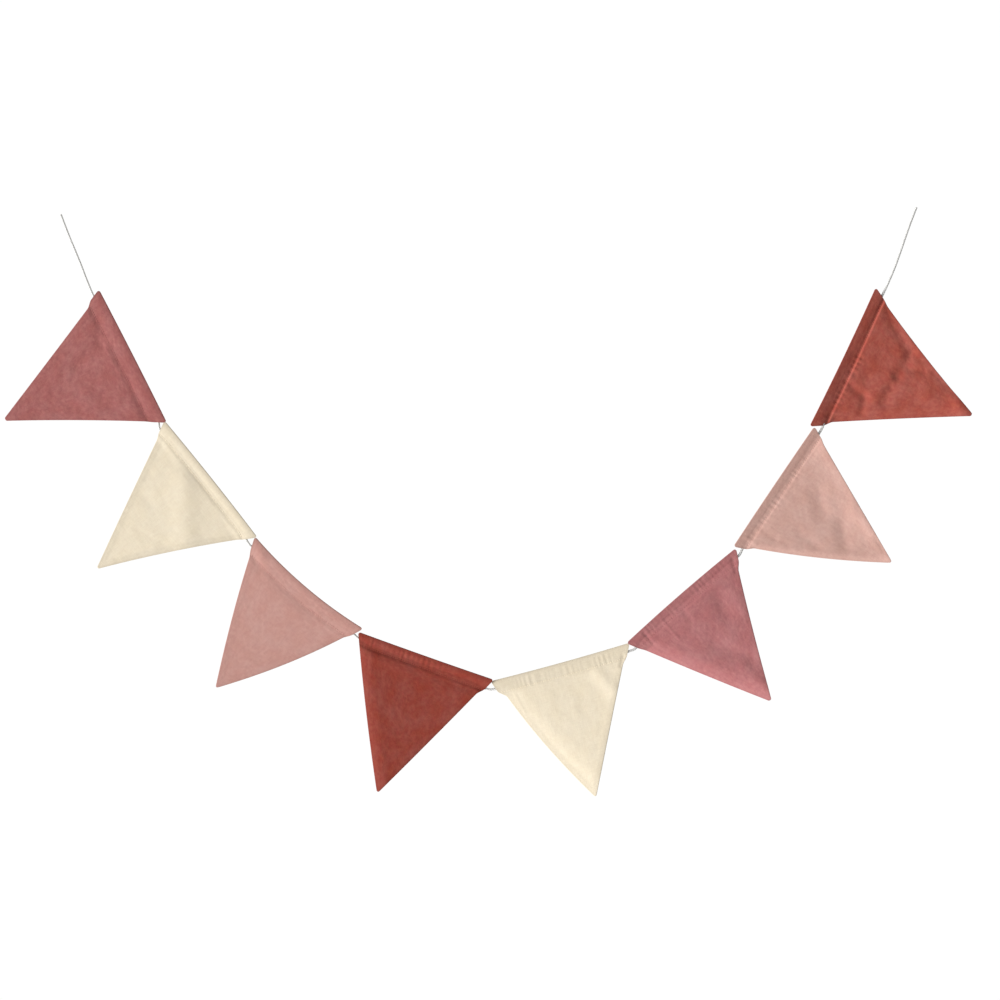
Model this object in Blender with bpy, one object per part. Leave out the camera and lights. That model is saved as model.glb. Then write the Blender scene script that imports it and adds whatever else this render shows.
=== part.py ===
# Bunting: eight turned-through cotton flags threaded on one twisted cotton string.
# Metres, +Z up. The string's left end is the origin. The bunting hangs in the XZ plane
# in one long U with its front facing -Y, and each flag stands square to the string.

import math
from collections import namedtuple

import bmesh
import bpy
import numpy as np

MM = 0.001

# String, in millimetres
STRING_DIAMETER = 3.0
STRING_BEVEL_RESOLUTION = 2
STRING_PIECE = 8.0
STRING_COLOUR = (0.82, 0.81, 0.79)
STRING_ROUGHNESS = 0.85

# The string's route (x, z) in millimetres: tail, then in and out of each casing, then tail
STRING_ROUTE = (
    (0.0, 0.0), (9.0, -23.5), (21.8, -54.5), (29.3, -74.0),
    (35.8, -89.5), (46.0, -109.5), (103.0, -221.0), (110.0, -234.0),
    (112.0, -242.5), (123.5, -254.5), (203.0, -354.5), (208.5, -365.5),
    (213.5, -373.0), (250.0, -409.0), (290.0, -443.5), (330.0, -473.0),
    (337.5, -479.5), (351.0, -486.5), (463.0, -526.0), (480.5, -535.0),
    (489.5, -535.0), (512.5, -529.0), (622.5, -499.0), (640.5, -492.5),
    (647.5, -489.5), (659.0, -476.0), (749.0, -397.0), (764.5, -384.5),
    (768.5, -377.0), (778.5, -360.0), (844.5, -262.5), (856.0, -245.0),
    (859.0, -239.0), (864.5, -221.0), (918.5, -107.0), (926.8, -90.0),
    (934.9, -72.0), (941.6, -55.5), (957.0, -11.5), (964.5, 8.0),
)

# Casing: the channel along a flag's top edge, closed below by one line of stitches
STRING_DEPTH = 9.5
TUNNEL_WIDTH = 7.5
TUNNEL_HEIGHT = 3.8
TUNNEL_SIDES = 12
STRING_BULGE = 1.9
STRING_BULGE_REACH = 6.0
STITCH_DIP = 0.2
STITCH_DIP_SPREAD = 1.6

# Cloth: half of the flag's thickness against the distance in from its outline
EDGE_DISTANCES = (0.0, 1.2, 6.5, 9.0)
EDGE_HALF_THICKNESS = (0.45, 1.1, 1.1, 0.75)

# Grid of a flag: rows across it, columns down it
CASING_ROWS = (0.0, 1.2, 4.0, 6.5, 9.5, 12.0)
BELOW_STITCHES = 3.0
PANEL_ROWS = 9
TIP_ANGLES = (40.0, 58.0, 72.0)
INNER_COLUMNS = 6
CORNER_RADIUS = 2.2
CASING_END_FADE = (13.0, 22.0)
SMOOTH_ANGLE = 50.0

CLOTH_ROUGHNESS = 0.9
CLOTH_COLOURS = {
    "dusty_rose": (0.424, 0.144, 0.133),
    "cream": (0.871, 0.761, 0.581),
    "blush": (0.600, 0.320, 0.275),
    "pale_blush": (0.640, 0.385, 0.325),
    "rust": (0.284, 0.050, 0.032),
    "mauve": (0.456, 0.171, 0.171),
    "rust_red": (0.392, 0.087, 0.061),
}

# A row for each flag, in millimetres and degrees. middle: the casing's mid-point, as a
# distance along the string. heading: the top edge's rise to the right. width and drop:
# the triangle before its corners are rounded. stitch: the line of stitches, below the top
# edge. lean: the tip, right of the middle. bows: how far each edge bulges out. ends: how
# far the casing's two ends stand out past the sloping sides. swing: the tip, forward of
# the string. curl: the sides, forward.
FlagRow = namedtuple(
    "FlagRow",
    "node cloth middle heading width drop stitch lean tip_radius top_bow left_bow right_bow"
    " left_end right_end swing curl",
)
FLAGS = [FlagRow(*row) for row in (
    ("flag_1", "dusty_rose", 181.3, -63.0, 164.9, 164.0, 18.0,
     -2.8, 2.9, 0.5, 0.0, -1.5, 3.0, 0.5, 4.0, 1.5),
    ("flag_2", "cream", 347.8, -51.5, 165.6, 165.0, 14.0,
     -1.5, 2.0, 1.0, 0.5, -2.5, 1.5, 1.0, -3.0, -2.0),
    ("flag_3", "blush", 511.2, -40.5, 157.0, 158.8, 17.5,
     -2.6, 1.4, -6.0, 1.5, 4.2, 1.3, 2.0, 3.0, -1.5),
    ("flag_4", "rust", 671.8, -19.5, 159.0, 165.0, 15.0,
     1.5, 1.8, -0.5, 1.5, 0.4, 0.0, 3.1, 2.0, 1.5),
    ("flag_5", "cream", 840.3, 15.5, 154.5, 158.9, 15.5,
     -3.2, 1.6, -1.0, 4.5, -0.5, 5.0, 2.5, -4.0, 2.0),
    ("flag_6", "mauve", 1002.3, 41.0, 159.8, 158.0, 14.5,
     -0.5, 2.4, 1.5, 1.0, -1.0, 1.0, 2.5, 3.5, -2.0),
    ("flag_7", "pale_blush", 1169.1, 56.0, 159.1, 159.5, 14.5,
     3.0, 1.7, 0.5, 4.0, 0.0, 2.5, 1.5, -3.5, 1.5),
    ("flag_8", "rust_red", 1337.2, 64.5, 168.1, 162.5, 16.5,
     2.5, 2.7, -1.0, -1.0, -2.5, 3.6, 1.5, 4.5, -1.5),
)]

# A row for each main fold, in millimetres on its flag: a soft line from one point to
# another, how far it spreads to each side, and its rise toward the front
FoldRow = namedtuple("FoldRow", "node from_along from_down to_along to_down spread rise")
FOLDS = [FoldRow(*row) for row in (
    ("flag_1", 26, 17, 51, 25, 8, -0.9),
    ("flag_1", 109, 17, 145, 17, 7, -0.8),
    ("flag_1", 54, 30, 62, 60, 10, -0.8),
    ("flag_1", 100, 72, 116, 66, 10, 0.5),
    ("flag_2", 66, 27, 121, 67, 14, 1.0),
    ("flag_3", 14, 15, 26, 19, 6, -0.8),
    ("flag_3", 50, 19, 104, 19, 7, -0.5),
    ("flag_4", 104, 17, 142, 17, 6, -0.8),
    ("flag_4", 24, 18, 62, 19, 8, 0.7),
    ("flag_5", 24, 30, 76, 128, 12, 0.5),
    ("flag_5", 114, 20, 126, 48, 8, 0.8),
    ("flag_6", 112, 30, 106, 50, 9, -1.0),
    ("flag_6", 74, 70, 93, 104, 10, -1.1),
    ("flag_6", 82, 106, 84, 138, 8, 0.9),
    ("flag_7", 100, 46, 84, 64, 9, -1.0),
    ("flag_7", 88, 86, 70, 104, 9, -1.1),
    ("flag_7", 110, 88, 99, 122, 9, 1.0),
    ("flag_8", 154, 20, 119, 66, 6, -1.2),
    ("flag_8", 57, 64, 74, 64, 6, -1.3),
    ("flag_8", 90, 65, 122, 69, 6, -1.6),
    ("flag_8", 103, 74, 108, 88, 5, -1.4),
    ("flag_8", 57, 22, 54, 38, 5, -1.2),
    ("flag_8", 52, 43, 36, 46, 5, -1.3),
    ("flag_8", 60, 50, 84, 57, 7, 1.0),
    ("flag_8", 85, 105, 84, 139, 10, 1.2),
)]


def clear_scene():
    for obj in list(bpy.data.objects):
        bpy.data.objects.remove(obj, do_unlink=True)


def make_material(name, colour, roughness):
    material = bpy.data.materials.new(name)
    material.use_nodes = True
    shader = material.node_tree.nodes["Principled BSDF"]
    shader.inputs["Base Color"].default_value = (*colour, 1.0)
    shader.inputs["Roughness"].default_value = roughness
    shader.inputs["Metallic"].default_value = 0.0
    return material


def smoothstep(low, high, value):
    share = np.clip((value - low) / (high - low), 0.0, 1.0)
    return share * share * (3.0 - 2.0 * share)


# String


def string_points():
    """The string's centreline: points read from one smooth curve through the route."""
    knots = np.array(STRING_ROUTE)
    spans = np.linalg.norm(np.diff(knots, axis=0), axis=1)[:, None]
    headings = np.diff(knots, axis=0) / spans
    inner = (knots[2:] - knots[:-2]) / (spans[:-1] + spans[1:])
    tangents = np.vstack([headings[:1], inner, headings[-1:]])
    points = []
    for i, span in enumerate(spans[:, 0]):
        pieces = max(1, round(math.sqrt(span / STRING_PIECE)))
        for step in range(pieces):
            t = step / pieces
            points.append(
                (2 * t**3 - 3 * t**2 + 1) * knots[i]
                + (t**3 - 2 * t**2 + t) * span * tangents[i]
                + (3 * t**2 - 2 * t**3) * knots[i + 1]
                + (t**3 - t**2) * span * tangents[i + 1]
            )
    points.append(knots[-1])
    return np.array(points)


def point_along(points, distance):
    lengths = np.linalg.norm(np.diff(points, axis=0), axis=1)
    travelled = np.concatenate([[0.0], np.cumsum(lengths)])
    return np.array([np.interp(distance, travelled, points[:, axis]) for axis in (0, 1)])


def distance_to_path(points, along, down):
    """The least distance from a place on a flag to a path given in the flag's own plane."""
    starts, ends = points[:-1], points[1:]
    runs = ends - starts
    place = np.array([along, down])
    share = np.sum((place - starts) * runs, axis=1) / np.sum(runs * runs, axis=1)
    nearest = starts + np.clip(share, 0.0, 1.0)[:, None] * runs
    return float(np.min(np.linalg.norm(place - nearest, axis=1)))


def make_string(points):
    curve = bpy.data.curves.new("string", "CURVE")
    curve.dimensions = "3D"
    curve.bevel_depth = STRING_DIAMETER / 2 * MM
    curve.bevel_resolution = STRING_BEVEL_RESOLUTION
    curve.use_fill_caps = True
    spline = curve.splines.new("POLY")
    spline.points.add(len(points) - 1)
    for point, (x, z) in zip(spline.points, points):
        point.co = (x * MM, 0.0, z * MM, 1.0)
    curve.materials.append(make_material("string_cotton", STRING_COLOUR, STRING_ROUGHNESS))
    string = bpy.data.objects.new("string", curve)
    bpy.context.collection.objects.link(string)
    return string


def make_tunnel_cutter(points):
    """A flattened tube along the whole string, which opens every casing end to end."""
    runs = np.diff(points, axis=0)
    runs /= np.linalg.norm(runs, axis=1)[:, None]
    sides = np.stack([-runs[:, 1], runs[:, 0]], axis=1)
    mitres = np.vstack([sides[:1], sides[:-1] + sides[1:], sides[-1:]])
    mitres /= np.linalg.norm(mitres, axis=1)[:, None]
    nearest_sides = np.vstack([sides[:1], sides])
    mitres /= np.sum(mitres * nearest_sides, axis=1)[:, None]

    mesh = bmesh.new()
    rings = []
    for (x, z), (side_x, side_z) in zip(points, mitres):
        ring = []
        for step in range(TUNNEL_SIDES):
            angle = 2 * math.pi * step / TUNNEL_SIDES
            across = TUNNEL_WIDTH / 2 * math.cos(angle)
            depth = TUNNEL_HEIGHT / 2 * math.sin(angle)
            place = (x + across * side_x, depth, z + across * side_z)
            ring.append(mesh.verts.new([value * MM for value in place]))
        rings.append(ring)
    for ring, following in zip(rings, rings[1:]):
        for i in range(TUNNEL_SIDES):
            j = (i + 1) % TUNNEL_SIDES
            mesh.faces.new((ring[i], ring[j], following[j], following[i]))
    mesh.faces.new(rings[0])
    mesh.faces.new(reversed(rings[-1]))
    bmesh.ops.recalc_face_normals(mesh, faces=mesh.faces)
    data = bpy.data.meshes.new("casing_tunnel")
    mesh.to_mesh(data)
    mesh.free()
    cutter = bpy.data.objects.new("casing_tunnel", data)
    cutter.hide_render = True
    cutter.display_type = "WIRE"
    bpy.context.collection.objects.link(cutter)
    return cutter


# Flag outline, in the flag's own plane: along its top edge, and down from it


def tip_along(flag):
    return flag.width / 2 + flag.lean


def side_slopes(flag):
    """The steepness of the left and the right side, as angles from the top edge."""
    left = math.atan2(flag.drop, tip_along(flag))
    right = math.atan2(flag.drop, flag.width - tip_along(flag))
    return left, right


def corner_inset(down, slope):
    """How far a rounded top corner stands in from the sharp one at this depth."""
    radius = CORNER_RADIUS
    if down >= radius * (1 + math.cos(slope)):
        return 0.0
    centre = radius / math.tan(slope / 2)
    return centre - math.sqrt(max(0.0, radius**2 - (radius - down) ** 2)) - down / math.tan(slope)


def row_ends(flag, down):
    """Where the outline's left and right sides cross this depth."""
    share = down / flag.drop
    belly = 4 * share * (1 - share)
    casing = 1.0 - smoothstep(*CASING_END_FADE, down)
    left_slope, right_slope = side_slopes(flag)
    left_out = (flag.left_bow * belly + flag.left_end * casing) / math.sin(left_slope)
    right_out = (flag.right_bow * belly + flag.right_end * casing) / math.sin(right_slope)
    left = share * tip_along(flag) - left_out + corner_inset(down, left_slope)
    right = flag.width - share * (flag.width - tip_along(flag)) + right_out - corner_inset(down, right_slope)
    return left, right


def tip_rows(flag):
    """Depths and half-widths of the rows round the tip."""
    half_angle = math.atan2(flag.width / 2, flag.drop)
    centre = flag.drop - flag.tip_radius / math.sin(half_angle)
    rows = []
    for angle in TIP_ANGLES:
        down = centre + flag.tip_radius * math.sin(math.radians(angle))
        rows.append((down, flag.tip_radius * math.cos(math.radians(angle))))
    return rows


def outline_rows(flag):
    """(down, left, right) for each row of the flag, from its top edge to its tip."""
    rounded = tip_rows(flag)
    last_straight = rounded[0][0] - flag.tip_radius / 2
    panel = np.linspace(flag.stitch + BELOW_STITCHES, last_straight, PANEL_ROWS + 1)
    rows = [(down, *row_ends(flag, down)) for down in (*CASING_ROWS, flag.stitch, *panel)]
    for down, half in rounded:
        left, right = row_ends(flag, down)
        middle = (left + right) / 2
        half = min(half, (right - left) / 2)
        rows.append((down, middle - half, middle + half))
    return rows


def column_places(left, right):
    """Places across a row: close together in the seam allowances, then evenly spaced."""
    width = right - left
    scale = min(1.0, width / (4 * EDGE_DISTANCES[-1]))
    near = [distance * scale for distance in EDGE_DISTANCES]
    inner = np.linspace(near[-1], width - near[-1], INNER_COLUMNS + 2)[1:-1]
    across = [*near, *inner, *(width - distance for distance in reversed(near))]
    return [left + place for place in across]


# Flag surface


def half_thickness(flag, row, along, off_string):
    """Half of the cloth's thickness: thick at the seams, thin at the stitches, round the string."""
    down, left, right = row
    left_slope, right_slope = side_slopes(flag)
    edge = min(
        down,
        (along - left) * math.sin(left_slope),
        (right - along) * math.sin(right_slope),
        flag.drop - down,
    )
    half = np.interp(edge, EDGE_DISTANCES, EDGE_HALF_THICKNESS)
    half -= STITCH_DIP * math.exp(-(((down - flag.stitch) / STITCH_DIP_SPREAD) ** 2))
    reach = min(1.0, off_string / STRING_BULGE_REACH)
    return half + STRING_BULGE * math.cos(math.pi / 2 * reach) ** 2


def fold_rise(fold, along, down):
    start = np.array([fold.from_along, fold.from_down])
    run = np.array([fold.to_along, fold.to_down]) - start
    place = np.array([along, down])
    share = np.clip(np.dot(place - start, run) / np.dot(run, run), 0.0, 1.0)
    distance = np.linalg.norm(place - start - share * run)
    return fold.rise * math.exp(-((distance / fold.spread) ** 2))


def rise_at(flag, along, down):
    """How far the middle of the cloth stands in front of the string's plane."""
    free = smoothstep(STRING_DEPTH, flag.stitch + STRING_DEPTH, down)
    fallen = max(0.0, down - flag.stitch) / flag.drop
    off_middle = 2 * (along - tip_along(flag)) / flag.width
    rise = flag.swing * fallen**2 + flag.curl * off_middle**2 * free
    rise += free * sum(fold_rise(fold, along, down) for fold in FOLDS if fold.node == flag.node)
    return rise


def top_edge_rise(flag, along, down):
    """The bow of the top edge, which fades down the flag."""
    share = along / flag.width
    return flag.top_bow * 4 * share * (1 - share) * (1 - down / flag.drop)


def flag_frame(flag, string_line):
    """The world place (x, z) of the flag's first corner, and its two directions."""
    heading = math.radians(flag.heading)
    along = np.array([math.cos(heading), math.sin(heading)])
    down = np.array([math.sin(heading), -math.cos(heading)])
    middle = point_along(string_line, flag.middle)
    corner = middle - along * flag.width / 2 - down * (STRING_DEPTH - flag.top_bow)
    return corner, along, down


def make_flag(flag, string_line, tunnel):
    corner, along_axis, down_axis = flag_frame(flag, string_line)
    string_path = np.stack(
        [(string_line - corner) @ along_axis, (string_line - corner) @ down_axis], axis=1
    )
    mesh = bmesh.new()
    front, back = [], []
    for row in outline_rows(flag):
        down, left, right = row
        front_row, back_row = [], []
        for along in column_places(left, right):
            sunk = down - top_edge_rise(flag, along, down)
            off_string = distance_to_path(string_path, along, sunk)
            half = half_thickness(flag, row, along, off_string)
            rise = rise_at(flag, along, down)
            front_row.append(mesh.verts.new((along * MM, -(rise + half) * MM, -sunk * MM)))
            back_row.append(mesh.verts.new((along * MM, -(rise - half) * MM, -sunk * MM)))
        front.append(front_row)
        back.append(back_row)
    fill_sheet(mesh, front)
    fill_sheet(mesh, back)
    fill_rim(mesh, front, back)
    bmesh.ops.recalc_face_normals(mesh, faces=mesh.faces)
    data = bpy.data.meshes.new(flag.node)
    mesh.to_mesh(data)
    mesh.free()
    data.shade_smooth()
    data.set_sharp_from_angle(angle=math.radians(SMOOTH_ANGLE))
    data.materials.append(make_material(flag.node + "_cotton", CLOTH_COLOURS[flag.cloth], CLOTH_ROUGHNESS))

    obj = bpy.data.objects.new(flag.node, data)
    obj.location = (corner[0] * MM, 0.0, corner[1] * MM)
    obj.rotation_euler = (0.0, -math.radians(flag.heading), 0.0)
    bpy.context.collection.objects.link(obj)
    cut = obj.modifiers.new("tunnel", "BOOLEAN")
    cut.operation = "DIFFERENCE"
    cut.solver = "EXACT"
    cut.object = tunnel
    return obj


def fill_sheet(mesh, grid):
    for upper, lower in zip(grid, grid[1:]):
        for i in range(len(upper) - 1):
            mesh.faces.new((upper[i], upper[i + 1], lower[i + 1], lower[i]))


def fill_rim(mesh, front, back):
    """Joins the front sheet to the back one along the outline."""
    loops = []
    for sheet in (front, back):
        right_side = [row[-1] for row in sheet[1:]]
        left_side = [row[0] for row in sheet[1:-1]]
        loops.append([*sheet[0], *right_side, *reversed(sheet[-1][:-1]), *reversed(left_side)])
    front_loop, back_loop = loops
    count = len(front_loop)
    for i in range(count):
        j = (i + 1) % count
        mesh.faces.new((front_loop[i], front_loop[j], back_loop[j], back_loop[i]))


def main():
    clear_scene()
    string_line = string_points()
    make_string(string_line)
    tunnel = make_tunnel_cutter(string_line)
    for flag in FLAGS:
        make_flag(flag, string_line, tunnel)


main()
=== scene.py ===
# Looks of the bunting: eight washed cotton flags threaded on one twisted cotton string.
# The frame is in metres, +Z up: the string's left end is the origin and the flags face -Y.
# The tables are in millimetres, each flag's on its own plane: along its top edge from the
# left corner, down from the top edge, and rise toward the front.

import math
from collections import namedtuple

import bpy
import numpy as np
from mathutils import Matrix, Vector


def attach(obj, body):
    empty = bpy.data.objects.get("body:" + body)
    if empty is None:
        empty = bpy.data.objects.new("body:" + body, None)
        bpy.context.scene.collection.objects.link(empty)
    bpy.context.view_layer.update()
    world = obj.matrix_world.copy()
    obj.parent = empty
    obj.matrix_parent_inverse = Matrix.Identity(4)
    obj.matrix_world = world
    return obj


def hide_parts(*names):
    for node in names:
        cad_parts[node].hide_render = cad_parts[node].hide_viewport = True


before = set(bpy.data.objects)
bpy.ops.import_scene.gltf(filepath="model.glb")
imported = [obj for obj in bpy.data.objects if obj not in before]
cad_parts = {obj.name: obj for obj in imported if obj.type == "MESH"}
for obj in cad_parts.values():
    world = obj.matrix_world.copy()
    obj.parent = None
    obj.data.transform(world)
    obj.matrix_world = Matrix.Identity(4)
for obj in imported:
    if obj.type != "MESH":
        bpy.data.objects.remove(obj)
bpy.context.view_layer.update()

MM = 0.001
BODY = "root"
WHITE = (1.0, 1.0, 1.0, 1.0)

# Camera and stage, in metres
VIEW_CENTRE = (0.49525, 0.0, -0.322)
VIEW_WIDTH = 1.127
VIEW_DISTANCE = 4.0
VIEW_END = 50.0
SENSOR_WIDTH = 36.0
FLOOR_HEIGHT = -1.4
FLOOR_RADIUS = 0.9
FLOOR_SIDES = 96
FLOOR_COLOUR = (0.86, 0.85, 0.84, 1.0)

# Light: the way from the cloth to the raking key light, and to the fill above and behind
KEY_DIRECTION = (-0.88, -0.375, -0.287)
KEY_STRENGTH = 5.0
KEY_ANGLE = 25.0
BACK_DIRECTION = (0.25, 0.6, 1.0)
BACK_STRENGTH = 2.0
BACK_ANGLE = 40.0
SUN_DISTANCE = 2.0
SKY_STRENGTH = 0.40
SKY_SEEN_STRENGTH = 1.02

# String: its strands, how far each lies off the middle, and the length of a full twist
STRING_STRANDS = 3
STRAND_OFFSET = 0.45
STRAND_RADIUS = 1.05
TWIST_PITCH = 8.0
STRING_SIDES = 20
STRING_STEP = 0.7
END_RING = 0.5

# String's looks: shades are factors of its colour, from the darkest to the lightest
STRING_COLOUR = (0.60, 0.595, 0.58)
STRING_GLOW = 3.5
# Painted shade in the grooves between strands: the radii over which it fades, and its factors
GROOVE_SHADE_RADII = (1.2, 1.5)
GROOVE_SHADE = (0.92, 1.0)
FIBRE_SCALES = (0.9, 9.0, 0.0)
FIBRE_SHADE = (0.93, 1.05)
FIBRE_BUMP = 0.12
PATCH_SCALE = 0.05
PATCH_SHADE = (0.95, 1.04)

# The string's route (x, z): tail, then in and out of each casing, then tail
STRING_ROUTE = (
    (0.0, 0.0), (9.0, -23.5), (21.8, -54.5), (29.3, -74.0),
    (35.8, -89.5), (46.0, -109.5), (103.0, -221.0), (110.0, -234.0),
    (112.0, -242.5), (123.5, -254.5), (203.0, -354.5), (208.5, -365.5),
    (213.5, -373.0), (250.0, -409.0), (290.0, -443.5), (330.0, -473.0),
    (337.5, -479.5), (351.0, -486.5), (463.0, -526.0), (480.5, -535.0),
    (489.5, -535.0), (512.5, -529.0), (622.5, -499.0), (640.5, -492.5),
    (647.5, -489.5), (659.0, -476.0), (749.0, -397.0), (764.5, -384.5),
    (768.5, -377.0), (778.5, -360.0), (844.5, -262.5), (856.0, -245.0),
    (859.0, -239.0), (864.5, -221.0), (918.5, -107.0), (926.8, -90.0),
    (934.9, -72.0), (941.6, -55.5), (957.0, -11.5), (964.5, 8.0),
)

# Cloth's outline: the string's depth at a flag's middle, the rounding of the top corners,
# and the depths between which the casing's ends stop standing out
STRING_DEPTH = 9.5
CORNER_RADIUS = 2.2
CASING_END_FADE = (13.0, 22.0)

# Cloth's thickness, as halves: at the rim, the top edge, the string, the panel and the
# stitches, and how far from the rim, the top edge and the stitches it is full again
RIM_HALF = 0.32
TOP_HALF = 0.9
STRING_HALF = 1.9
PANEL_HALF = 0.5
STITCH_HALF = 0.36
RIM_ROUND = 1.1
TOP_ROUND = 0.8
PINCH_REACH = 2.0

# Seams along the edges: the extra half thickness, the distances in from the edge between
# which it falls away, and the groove in the rim between the two layers
SEAM_EXTRA = 0.12
SEAM_FALL = (4.0, 9.0)
RIM_GROOVE = 0.25

# Casing: where it is fullest above the string, the least way from the string down to the
# stitches, its walls, its least hollow, the tops of its mouths, and where the painted shade of
# its doubled cloth ends, from above the stitches to below them
CROWN_DOWN = 4.5
CROWN_SPREAD = 3.0
STRING_ROOM = 3.6
CASING_WALL = 0.45
LEAST_HOLLOW = 0.06
MOUTH_TOP = 1.4
DOUBLED_END = (-0.5, 0.8)

# The stretch of string that belongs to a flag: how far past its ends, and off its top edge
STRING_PAST_ENDS = 30.0
STRING_OFF_EDGE = 60.0

# Grid of a flag: the steps in from the sides and from the top, the steps of the rows in the
# casing and in the panel, the share of a narrow row that each side's steps take, and the
# turns round the tip, in degrees
EDGE_STEPS = (0.0, 0.15, 0.4, 0.8, 1.3, 2.0, 2.8, 3.7, 4.6, 5.5, 6.4, 7.4, 8.5, 9.6, 10.8)
TOP_STEPS = (0.0, 0.15, 0.4, 0.8, 1.4)
CASING_STEP = 0.7
CASING_GRID_END = 26.0
PANEL_STEP = 1.4
INNER_COLUMNS = 116
EDGE_SHARE = 0.25
TIP_TURNS = 9
TIP_LAST_TURN = 85.0

# Washed unevenness: how many waves are added up, and their lengths, broad and fine
WAVE_COUNT = 26
RUMPLE_WAVES = (9.0, 26.0)
CRINKLE_WAVES = (4.0, 9.0)
CRINKLE_SEED = 20

# Puckers: how far they stray from even places, how their strength changes along the casing,
# and how soon they fade at a run's ends, top and bottom
PUCKER_WAVE_COUNT = 8
STRAY = 1.3
STRAY_WAVES = (14.0, 40.0)
STRAY_SEED = 50
STRENGTH_MEAN = 0.6
STRENGTH_CHANGE = 0.4
STRENGTH_LIMITS = (0.35, 1.4)
STRENGTH_WAVES = (18.0, 60.0)
STRENGTH_SEED = 60
END_FADE = 12.0
TOP_FADE = 4.0
BOTTOM_FADE = 3.0

# Weave: the distance between yarns, the thickness and length of their uneven places, the
# height of each yarn from beside a crossing to a crossing where the warp lies on top, and
# the relief of the weave and of the uneven places
WEAVE_PITCH = 0.55
SLUB_ACROSS = 0.9
SLUB_LENGTH = 14.0
WARP_HEIGHTS = (0.45, 1.0)
WEFT_HEIGHTS = (0.45, -0.1)
WEAVE_BUMP = 0.07
SLUB_BUMP = 0.05

# Cloth's looks: the scale of each noise, the middle part of a noise that counts, the strip of
# painted rim shade along the edges, and factors of the colour from a noise's least to its most
DYE_SCALE = 0.05
WASH_SCALE = 0.2
CRUMPLE_SCALE = 0.22
NOISE_PART = (0.3, 0.7)
# Painted shade in a strip along the rims and the top edge, where the cloth turns from the light
PAINTED_RIM_REACH = 3.2
PAINTED_RIM_SHADE = (0.88, 1.0)
SLUB_SHADE = (0.95, 1.05)
# The weave's painted shade: darker where its yarns lie low, in the hollows between crossings
WEAVE_HOLLOW_SHADE = (0.86, 1.04)
DYE_SATURATION = (1.08, 0.92)
WASH_HUE = (0.494, 0.506)

# Sewing thread: the end of a stitch as a share of the thread's thickness, and a stitch's
# rise in its middle and sinking at its ends, in radii of the thread
STITCH_PITCH = 2.7
STITCH_MARGIN = 2.5
STITCH_LENGTH = 2.0
STITCH_END = 0.55
STITCH_RISE = 1.5
STITCH_SINK = 0.9
THREAD_RADIUS = 0.24
THREAD_SIDES = 6
THREAD_STATIONS = 5
THREAD_GRAIN_SCALE = 3.0
THREAD_SHADE = (0.95, 1.2)

# A row for each flag, in millimetres and degrees: the solid's own sizes. middle: the
# casing's mid-point along the string. heading: the top edge's rise to the right. bows: how
# far each edge bulges out. ends: how far the casing's two ends stand out. swing: the tip,
# forward of the string. curl: the sides, forward.
FlagRow = namedtuple(
    "FlagRow",
    "node cloth middle heading width drop stitch lean tip_radius top_bow left_bow right_bow"
    " left_end right_end swing curl",
)
FLAGS = [FlagRow(*row) for row in (
    ("flag_1", "dusty_rose", 181.3, -63.0, 164.9, 164.0, 18.0,
     -2.8, 2.9, 0.5, 0.0, -1.5, 3.0, 0.5, 4.0, 1.5),
    ("flag_2", "cream", 347.8, -51.5, 165.6, 165.0, 14.0,
     -1.5, 2.0, 1.0, 0.5, -2.5, 1.5, 1.0, -3.0, -2.0),
    ("flag_3", "blush", 511.2, -40.5, 157.0, 158.8, 17.5,
     -2.6, 1.4, -6.0, 1.5, 4.2, 1.3, 2.0, 3.0, -1.5),
    ("flag_4", "rust", 671.8, -19.5, 159.0, 165.0, 15.0,
     1.5, 1.8, -0.5, 1.5, 0.4, 0.0, 3.1, 2.0, 1.5),
    ("flag_5", "cream", 840.3, 15.5, 154.5, 158.9, 15.5,
     -3.2, 1.6, -1.0, 4.5, -0.5, 5.0, 2.5, -4.0, 2.0),
    ("flag_6", "mauve", 1002.3, 41.0, 159.8, 158.0, 14.5,
     -0.5, 2.4, 1.5, 1.0, -1.0, 1.0, 2.5, 3.5, -2.0),
    ("flag_7", "pale_blush", 1169.1, 56.0, 159.1, 159.5, 14.5,
     3.0, 1.7, 0.5, 4.0, 0.0, 2.5, 1.5, -3.5, 1.5),
    ("flag_8", "rust_red", 1337.2, 64.5, 168.1, 162.5, 16.5,
     2.5, 2.7, -1.0, -1.0, -2.5, 3.6, 1.5, 4.5, -1.5),
)]

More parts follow.
